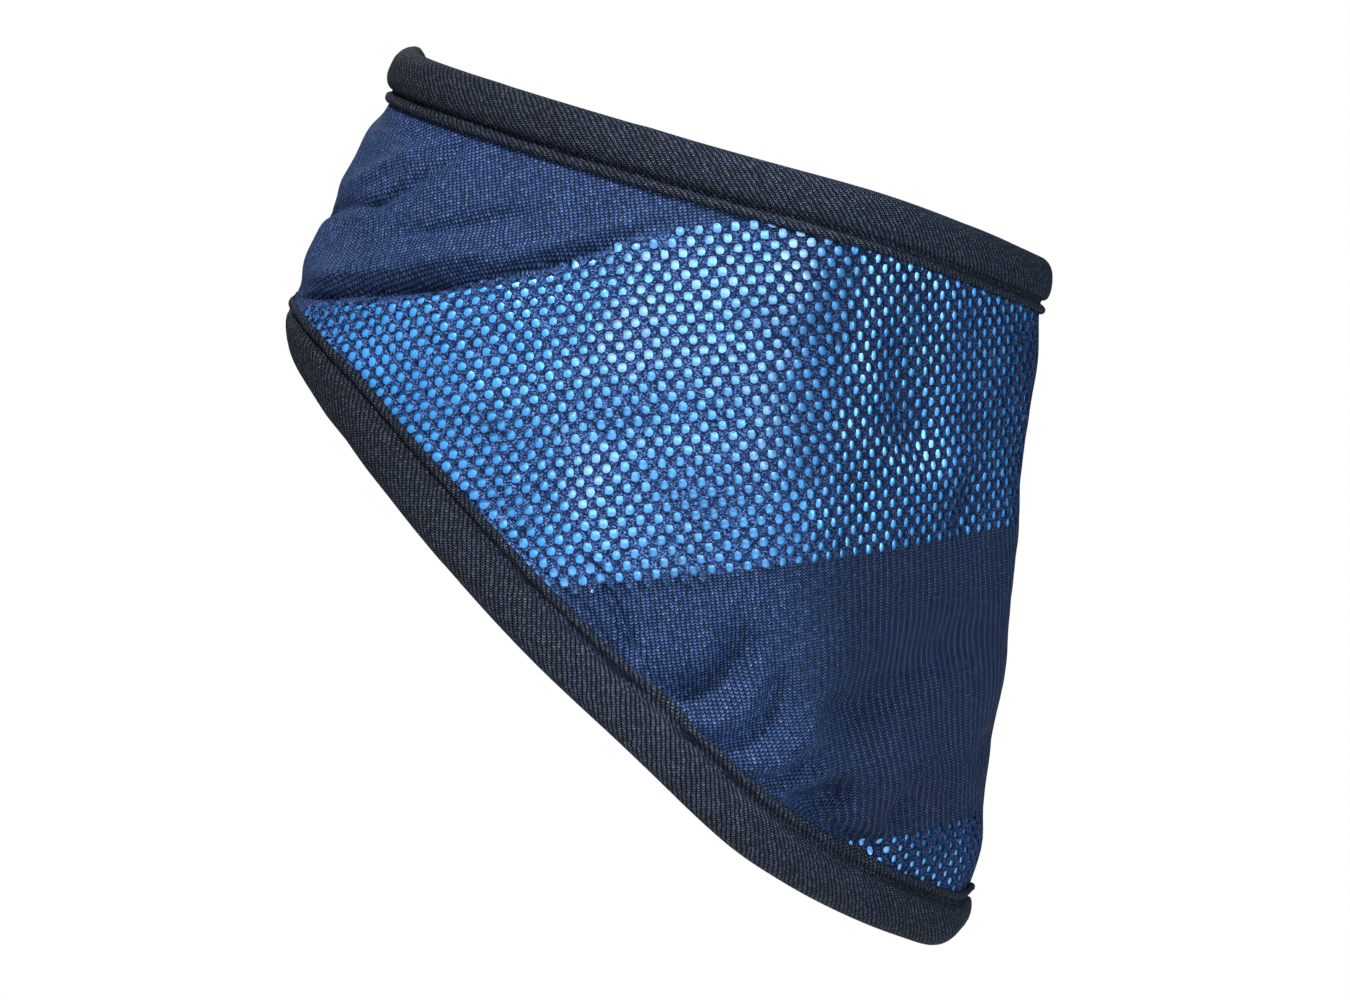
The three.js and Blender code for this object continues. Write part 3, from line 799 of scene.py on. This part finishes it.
def build_liner():
    """The smooth layer behind the net, as a closed sheet right round the ring."""
    half = np.linspace(0, 1, LINER_R + 1)
    r = np.concatenate([half, 2 - half[::-1][1:-1]])
    d = np.linspace(0, 1, LINER_D + 1)
    wide = waves(17, 22, 13, 40)

    place_r, place_d = np.meshgrid(r, d, indexing="ij")
    at = near_place(place_r)
    p, q = on_grid(fab_p, at, place_d), on_grid(fab_q, at, place_d)

    def layer(under):
        points, way = skin(at, place_d, under)
        holes = smooth(band_depth(p, q) / 2 + 1)
        slack = LINER_SLACK * (SLACK_BASE + relief(points, wide)) + LINER_LOOSE * (1 - holes)
        slack = slack * calm(place_d, side_length(at), *LINER_CALM)
        points = points - way * slack[..., None]
        points[[0, LINER_R], :, 1] = 0
        points[LINER_R + 1:, :, 1] *= -1  # the far side mirrors the near one, as the shell's does
        return points

    front, back = layer(LINER_DEPTH), layer(LINER_DEPTH + LINER_THICK)
    ring, rows = len(r), LINER_D + 1
    count = ring * rows
    index = np.arange(count).reshape(ring, rows)
    after = np.roll(index, -1, axis=0)
    one = np.stack([index[:, :-1], index[:, 1:], after[:, 1:], after[:, :-1]], -1).reshape(-1, 4)
    two = one[:, ::-1] + count
    hems = [
        np.stack([a, b, b + count, a + count], -1)
        for a, b in ((index[:, 0], after[:, 0]), (after[:, -1], index[:, -1]))
    ]
    faces = np.concatenate([part[:, ::-1] for part in (one, two, *hems)])
    flat_faces = faces % count
    hem_out = (faces >= count)[..., None] * np.array([0, HEM_OUT])
    made = mesh_object("cooling_layer", np.concatenate([front, back]).reshape(-1, 3), faces, LINER)
    uv = np.stack([p * PITCH, q * ROW], -1).reshape(-1, 2)
    set_uv(made, "fabric", np.concatenate([uv, uv]))
    laid = np.stack([on_grid(fab_a, at, place_d), on_grid(fab_b, at, place_d)], -1)
    laid = laid.reshape(-1, 2)[flat_faces]
    sides = len(one)
    laid[2 * sides:2 * sides + ring] += hem_out[2 * sides:2 * sides + ring]
    laid[2 * sides + ring:] -= hem_out[2 * sides + ring:]
    far_ring = np.arange(ring) >= LINER_R
    far_side = np.concatenate([np.repeat(far_ring, LINER_D)] * 2 + [far_ring] * 2)
    back_side = np.arange(len(faces)) // sides == 1
    which = (2 * far_side + back_side)[:, None, None]
    corners = np.select([which == k for k in range(4)], [quarter(laid, k) for k in range(4)])
    set_corners(made, BAKE_MAP, corners.reshape(-1, 2))
    return made


liner = build_liner()

# The tapes: sizes in millimetres
RIDGE, GROOVE, ROLL_PUFF = 2.05, 0.95, 2.6
RIDGE_KNOTS = [  # reach from the tape's inner edge, height over the shell
    (0.1, 0.0), (-0.08, 0.32), (0.0, 0.72), (0.3, 1.06), (0.75, 1.22),
    (1.15, 1.18), (1.5, 0.92), (1.75, 0.5), (1.95, 0.1), (2.3, 0.0),
]
ROLL_KNOTS = [  # share of the way to the roll's rounded edge, share of its height
    (-0.01, 0.3), (0.05, 0.5), (0.14, 0.66), (0.28, 0.8), (0.45, 0.9), (0.65, 0.96), (0.85, 0.99),
]
ROLL_LEAN, ROLL_ARC = 0.44, np.linspace(0.88, -0.92, 17)  # the edge's depth; its rounding in quarter turns
FRONT, BACK = 0.12, -1.45  # the tape's seats on the cloth's two sides
TAPE_RING = 460
STITCH, PULL, PULL_WIDE = 2.6, 0.12, 1.1  # the groove's stitches pull the cloth in
SWAY_KNOTS, SWAY_OUT, SWAY_WAY = 60, 0.10, 0.12
ROLL_MIDDLE, ROLL_SPARE = -0.66, 0.9  # the roll sways where it is this far from its middle height
LEAN_WIDE = 0.06
FLATTER, FLAT_WIDE = 0.7, 0.04  # how much lower the lower ridge is at the nape, and how widely
PAINTED_LIGHT_AT, PAINTED_LIGHT_WIDE = 0.42, 0.24  # painted light: where along a side the tape is painted lighter, and how widely
UPPER_LEANS = [(1.0, 1.3, 0.3)]  # round, x, z: how far the roll's outer edge leans at the two ends
LOWER_LEANS = [(0.0, -1.1, 0.3), (1.0, 0.6, 0.6)]


def tape_section(roll, bite, front, back):
    """The tape's cross-section, closed: (reach past the cut edge, height over the shell's face)."""
    groove_at = -bite + RIDGE
    roll_at = groove_at + GROOVE
    edge = roll_at + roll
    mid, half = (front + back) / 2, (front - back) / 2 + ROLL_PUFF
    lean = roll * ROLL_LEAN
    centre = edge - lean
    knots = [(-bite + reach, front + height) for reach, height in RIDGE_KNOTS]
    knots.append((roll_at - 0.1, front + 0.2))
    for share, rise in ROLL_KNOTS:
        knots.append((roll_at + (centre - roll_at) * share, front + (mid + half - front) * rise))
    for t in ROLL_ARC * np.pi / 2:
        knots.append((centre + lean * math.cos(t), mid + half * math.sin(t)))
    knots += [
        (centre - roll * 0.25, mid - half * 0.95), (roll_at, back - 1.6), (groove_at, back - 0.9),
        (-bite + 1.0, back - 1.15), (-bite, back - 0.8), (-bite, back), (0.6, back), (0.6, front),
    ]
    return np.array(knots)


def build_tape(name, hem, roll, bite, leans, seed):
    """A folded tape round one hem. hem is 0 for the upper edge and 1 for the lower one."""
    half = np.linspace(0, 1, TAPE_RING // 2 + 1)
    r = np.concatenate([half, 2 - half[-2:0:-1]])
    near = near_place(r)
    rim = np.full_like(r, float(hem))
    inward = 1 if hem == 0 else -1
    edge, _ = skin(r, rim)
    run = (folded(r + STEP, hem) - folded(r - STEP, hem)) / (2 * STEP)
    cloth = (folded(r, hem + STEP * inward) - folded(r, rim)) / (STEP * inward)
    along = unit(run)
    slant = (cloth * along).sum(-1, keepdims=True)
    square = cloth - along * slant
    size = np.linalg.norm(square, axis=-1, keepdims=True)
    beyond = -inward * square / size
    hem_out = outward(folded, r, rim)
    slide = (-slant / np.linalg.norm(run, axis=-1, keepdims=True) / size)[:, 0]
    section = tape_section(roll, bite, FRONT, BACK)
    outer = section[:, 0].max()
    ridge_end = -bite + RIDGE + GROOVE
    lean = sum(
        np.exp(-(((near - at) / LEAN_WIDE) ** 2))[:, None] * np.array([x, 0, z]) for at, x, z in leans
    )
    far = np.concatenate([[0], np.cumsum(np.linalg.norm(np.diff(edge, axis=0), axis=1))])
    rng = np.random.default_rng(seed)
    sway = [np.interp(r, np.linspace(0, 2, SWAY_KNOTS), rng.normal(size=SWAY_KNOTS)) for _ in range(2)]
    flatter = 1 - FLATTER * np.exp(-(((near - 1) / FLAT_WIDE) ** 2))
    points = []
    girth = np.concatenate([[0], np.cumsum(np.hypot(*np.diff(section, axis=0).T))])
    for reach, height in section:
        on_roll = float(reach > ridge_end) * float(abs(height - ROLL_MIDDLE) > ROLL_SPARE)
        near_groove = math.exp(-((reach + bite - RIDGE - GROOVE / 2) / PULL_WIDE) ** 2) * float(height > 0)
        pull = near_groove * PULL * np.cos(2 * np.pi * far / STITCH)
        out = height + on_roll * SWAY_OUT * sway[0] + pull
        way = reach + on_roll * SWAY_WAY * sway[1]
        if height > 0 and reach < ridge_end and hem == 1:
            out = out * flatter
        if reach >= 0:
            points.append(edge + beyond * way[:, None] + hem_out * out[:, None] + lean * (reach / outer))
        else:
            down = hem - way * inward / size[:, 0]
            base, up = skin(r - way * inward * slide, down)
            points.append(base + up * out[:, None])
    points = np.stack(points, 1)
    ring, rows = points.shape[:2]
    index = np.arange(ring * rows).reshape(ring, rows)
    after, right = np.roll(index, -1, axis=0), np.roll(index, -1, axis=1)
    corner = np.roll(after, -1, axis=1)
    faces = np.stack([index, right, corner, after], -1).reshape(-1, 4)
    if hem == 1:
        faces = faces[:, ::-1]
    made = mesh_object(name, points.reshape(-1, 3), faces, TAPE)
    along_mm = np.repeat(far[:, None], rows, 1)
    uv = np.stack([along_mm, np.repeat(girth[None] * inward, ring, 0)], -1)
    set_uv(made, "tape", uv.reshape(-1, 2))
    # painted light along the tape, highest in the middle of each side
    pale = np.exp(-(((near - PAINTED_LIGHT_AT) / PAINTED_LIGHT_WIDE) ** 2))
    set_value(made, "side", np.repeat(pale, rows))
    closing = float(np.hypot(*(section[0] - section[-1])))
    round_mm = np.concatenate([far, [far[-1] + np.linalg.norm(edge[0] - edge[-1])]])
    girth_mm = np.concatenate([girth, [girth[-1] + closing]])
    strips = round(math.sqrt(round_mm[-1] / girth_mm[-1]))
    strip = np.arange(ring) * strips // ring
    starts = round_mm[np.searchsorted(strip, strip)]
    i, j = np.meshgrid(np.arange(ring), np.arange(rows), indexing="ij")
    u = np.stack([round_mm[i], round_mm[i], round_mm[i + 1], round_mm[i + 1]], -1) - starts[i][..., None]
    v = np.stack([girth_mm[j], girth_mm[j + 1], girth_mm[j + 1], girth_mm[j]], -1)
    v = v + (strip * (girth_mm[-1] + BAKE_GAP))[i][..., None]
    corners = np.stack([u, v], -1).reshape(-1, 4, 2)
    set_corners(made, BAKE_MAP, (corners if hem == 0 else corners[:, ::-1]).reshape(-1, 2))
    return made


upper_tape = build_tape("upper_tape", 0, 9.0, 5.4, UPPER_LEANS, 21)
lower_tape = build_tape("lower_tape", 1, 9.8, 7.2, LOWER_LEANS, 22)

REPLACED = {
    shell: "outer_shell", liner: "cooling_liner",
    upper_tape: "upper_binding", lower_tape: "lower_binding",
}
for piece, node in REPLACED.items():
    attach(piece, "root")
    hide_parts(node)

# Stage: a pale floor under the scarf, soft light from the upper left and the front
FLOOR_Z, FLOOR_RADIUS = -0.32, 0.85
bpy.ops.mesh.primitive_circle_add(
    vertices=96, radius=FLOOR_RADIUS, fill_type="NGON", location=(0, 0, FLOOR_Z),
)
floor = bpy.context.object
floor.name = "floor"
floor_nodes = Nodes("pale_floor")
floor_nodes.set(Base_Color=(0.86, 0.86, 0.86, 1), Roughness=0.9)
floor.data.materials.append(floor_nodes.material)


WHITE, COOL = (1, 1, 1), (0.6, 0.85, 1)
LIGHTS = [  # name, place in metres, size, power, tint
    ("key", (-0.42, -0.8, 1.15), 0.3, 33, WHITE),
    ("front", (-0.14, -1.3, 0.3), 0.35, 3.2, WHITE),
    ("front_right", (0.5, -1.2, 0.3), 0.4, 4.5, WHITE),
    ("right_fill", (1.2, -0.25, 0.15), 0.6, 9, COOL),
    ("back_rim", (-0.3, 1.1, 0.9), 0.8, 5, WHITE),
]
AMBIENT = 0.08


def soft_light(name, place, size, power, tint):
    """A round light that shines at the scarf's middle."""
    light = bpy.data.lights.new(name, "AREA")
    light.shape = "DISK"
    light.size = size
    light.energy = power
    light.color = tint
    made = bpy.data.objects.new(name, light)
    made.location = place
    made.rotation_euler = (-Vector(place)).to_track_quat("-Z", "Y").to_euler()
    bpy.context.scene.collection.objects.link(made)


for row in LIGHTS:
    soft_light(*row)

# The world: plain white where the camera sees it, and dim as a light
world = bpy.data.worlds.new("white_studio")
bpy.context.scene.world = world
world.use_nodes = True
tree = world.node_tree
ambient = tree.nodes["Background"]
ambient.inputs[0].default_value = (1, 1, 1, 1)
ambient.inputs[1].default_value = AMBIENT
seen = tree.nodes.new("ShaderNodeBackground")
seen.inputs[1].default_value = 1.0
seen.inputs[0].default_value = (1, 1, 1, 1)
rays = tree.nodes.new("ShaderNodeLightPath")
either = tree.nodes.new("ShaderNodeMixShader")
tree.links.new(rays.outputs["Is Camera Ray"], either.inputs[0])
tree.links.new(ambient.outputs[0], either.inputs[1])
tree.links.new(seen.outputs[0], either.inputs[2])
tree.links.new(either.outputs[0], tree.nodes["World Output"].inputs[0])
bpy.context.scene.view_settings.view_transform = "Standard"

# Camera: nearly level, square to the scarf's side
PHOTO_W, PHOTO_H, PHOTO_SCALE = 1350, 1000, 4.6  # the photo's pixels, and how many of them to a millimetre
ORIGIN_X, ORIGIN_Y = 674, 397  # the pixel on which the part's origin lies
DISTANCE, RAISED, SENSOR = 720.0, 2.0, 36.0  # millimetres away, degrees above, and the camera's width
aim_x, aim_z = (PHOTO_W / 2 - ORIGIN_X) / PHOTO_SCALE, (ORIGIN_Y - PHOTO_H / 2) / PHOTO_SCALE
aim = Vector((aim_x, 0, aim_z)) * MM
camera_data = bpy.data.cameras.new("camera")
camera_data.sensor_width = SENSOR
camera_data.lens = SENSOR * DISTANCE / (PHOTO_W / PHOTO_SCALE)
camera = bpy.data.objects.new("camera", camera_data)
angle = math.radians(RAISED)
camera.location = aim + Vector((0, -math.cos(angle), math.sin(angle))) * DISTANCE * MM
camera.rotation_euler = (math.pi / 2 - angle, 0, 0)
bpy.context.scene.collection.objects.link(camera)
bpy.context.scene.camera = camera

print("holes on one side:", hole_count, "triangles:", {
    o.name: sum(len(p.vertices) - 2 for p in o.data.polygons) for o in REPLACED
})
